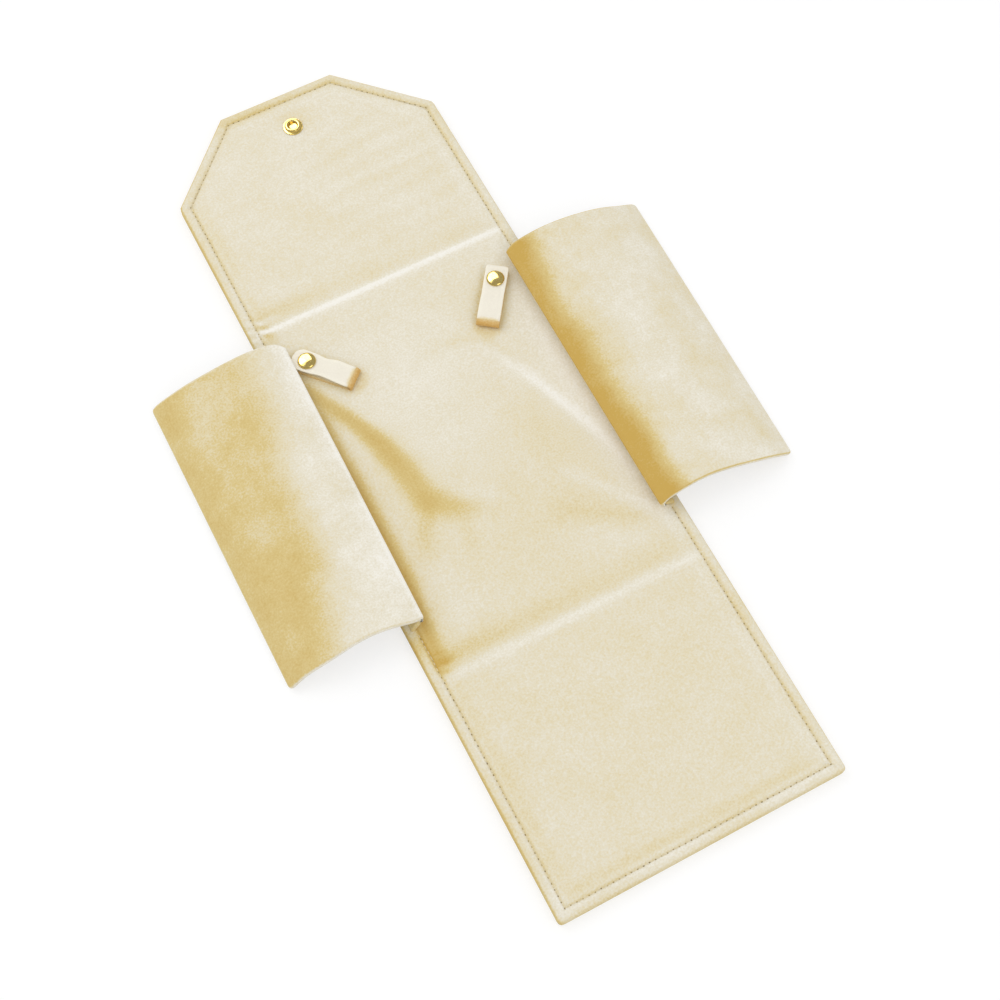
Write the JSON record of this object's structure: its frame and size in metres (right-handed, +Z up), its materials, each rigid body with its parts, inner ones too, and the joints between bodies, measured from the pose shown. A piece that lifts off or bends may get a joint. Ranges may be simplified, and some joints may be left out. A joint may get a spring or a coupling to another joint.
{
  "type": "jewelry pouch",
  "caption": "Velvet jewelry pouch lying open: a padded strip that folds in three with a snap flap, side wings that fold in, and snap strap loops.",
  "frame": {"origin": "on the table under the middle of the strip's length and width", "axes": "+Y along the strip towards the flap, +X towards the right wing, +Z up from the table"},
  "size_m": [0.272, 0.4642, 0.0186],
  "materials": {
    "lining_velvet": "champagne cut-pile velvet, the inside of the pouch",
    "cover_velvet": "champagne cut-pile velvet, the outside of the pouch",
    "tape_velvet": "pale velvet tape with cut edges",
    "foam": "white sheet foam",
    "board": "grey pulp board",
    "gold": "polished gold plating"
  },
  "bodies": {
    "centre": {"centre_cover": "cover_velvet", "centre_padding": "foam", "centre_board": "board", "centre_lining": "lining_velvet", "left_wing_root": "lining_velvet", "right_wing_root": "lining_velvet", "left_strap_base": "tape_velvet", "left_strap_stud": "gold", "left_strap_rivet": "gold", "right_strap_base": "tape_velvet", "right_strap_stud": "gold", "right_strap_rivet": "gold"},
    "lower_spine": {"lower_spine_cover": "cover_velvet", "lower_spine_padding": "foam", "lower_spine_lining": "lining_velvet"},
    "lower_panel": {"lower_cover": "cover_velvet", "lower_padding": "foam", "lower_board": "board", "lower_lining": "lining_velvet", "closure_stud": "gold", "closure_rivet": "gold"},
    "upper_spine": {"upper_spine_cover": "cover_velvet", "upper_spine_padding": "foam", "upper_spine_lining": "lining_velvet"},
    "flap": {"flap_cover": "cover_velvet", "flap_padding": "foam", "flap_board": "board", "flap_lining": "lining_velvet", "flap_cap": "gold", "flap_socket": "gold"},
    "left_wing_inner": {"left_wing_inner_upper": "lining_velvet", "left_wing_inner_under": "cover_velvet"},
    "left_wing_middle": {"left_wing_middle_upper": "lining_velvet", "left_wing_middle_under": "cover_velvet"},
    "left_wing_outer": {"left_wing_outer_upper": "lining_velvet", "left_wing_outer_under": "cover_velvet"},
    "right_wing_inner": {"right_wing_inner_upper": "lining_velvet", "right_wing_inner_under": "cover_velvet"},
    "right_wing_middle": {"right_wing_middle_upper": "lining_velvet", "right_wing_middle_under": "cover_velvet"},
    "right_wing_outer": {"right_wing_outer_upper": "lining_velvet", "right_wing_outer_under": "cover_velvet"},
    "left_strap": {"left_strap_top": "tape_velvet", "left_strap_cap": "gold", "left_strap_socket": "gold"},
    "right_strap": {"right_strap_top": "tape_velvet", "right_strap_cap": "gold", "right_strap_socket": "gold"}
  },
  "joints": [
    {"name": "lower_fold", "type": "hinge", "parent": "centre", "child": "lower_spine", "pos_m": [0, -0.0932, 0.006], "axis": [-1, 0, 0], "range_deg": [0, 90]},
    {"name": "lower_fold_second", "type": "hinge", "parent": "lower_spine", "child": "lower_panel", "pos_m": [0, -0.1048, 0.006], "axis": [-1, 0, 0], "range_deg": [0, 90]},
    {"name": "flap_fold", "type": "hinge", "parent": "centre", "child": "upper_spine", "pos_m": [0, 0.0895, 0.006], "axis": [1, 0, 0], "range_deg": [0, 90]},
    {"name": "flap_fold_second", "type": "hinge", "parent": "upper_spine", "child": "flap", "pos_m": [0, 0.1076, 0.006], "axis": [1, 0, 0], "range_deg": [0, 90]},
    {"name": "left_wing_fold", "type": "hinge", "parent": "centre", "child": "left_wing_inner", "pos_m": [-0.067, 0, 0.0137], "axis": [0, 1, 0], "range_deg": [0, 166]},
    {"name": "left_wing_flatten_middle", "type": "hinge", "parent": "left_wing_inner", "child": "left_wing_middle", "pos_m": [-0.08637, 0, 0.01836], "axis": [0, 1, 0], "range_deg": [0, 24.5]},
    {"name": "left_wing_flatten_outer", "type": "hinge", "parent": "left_wing_middle", "child": "left_wing_outer", "pos_m": [-0.11207, 0, 0.01567], "axis": [0, 1, 0], "range_deg": [0, 25.2]},
    {"name": "right_wing_fold", "type": "hinge", "parent": "centre", "child": "right_wing_inner", "pos_m": [0.067, 0, 0.0137], "axis": [0, -1, 0], "range_deg": [0, 166]},
    {"name": "right_wing_flatten_middle", "type": "hinge", "parent": "right_wing_inner", "child": "right_wing_middle", "pos_m": [0.08637, 0, 0.01836], "axis": [0, -1, 0], "range_deg": [0, 19.5]},
    {"name": "right_wing_flatten_outer", "type": "hinge", "parent": "right_wing_middle", "child": "right_wing_outer", "pos_m": [0.11207, 0, 0.01567], "axis": [0, -1, 0], "range_deg": [0, 22.7]},
    {"name": "left_strap_lift", "type": "hinge", "parent": "centre", "child": "left_strap", "pos_m": [-0.03723, 0.05411, 0.0108], "axis": [-0.749, -0.6626, 0], "range_deg": [-120, 0]},
    {"name": "right_strap_lift", "type": "hinge", "parent": "centre", "child": "right_strap", "pos_m": [0.03723, 0.05411, 0.0108], "axis": [-0.749, 0.6626, 0], "range_deg": [-120, 0]}
  ],
  "couplings": [
    {"joint": "lower_fold_second", "follows": "lower_fold", "ratio": 1},
    {"joint": "flap_fold_second", "follows": "flap_fold", "ratio": 1},
    {"joint": "left_wing_flatten_middle", "follows": "left_wing_fold", "ratio": 0.14759},
    {"joint": "left_wing_flatten_outer", "follows": "left_wing_fold", "ratio": 0.15181},
    {"joint": "right_wing_flatten_middle", "follows": "right_wing_fold", "ratio": 0.11747},
    {"joint": "right_wing_flatten_outer", "follows": "right_wing_fold", "ratio": 0.13675}
  ]
}
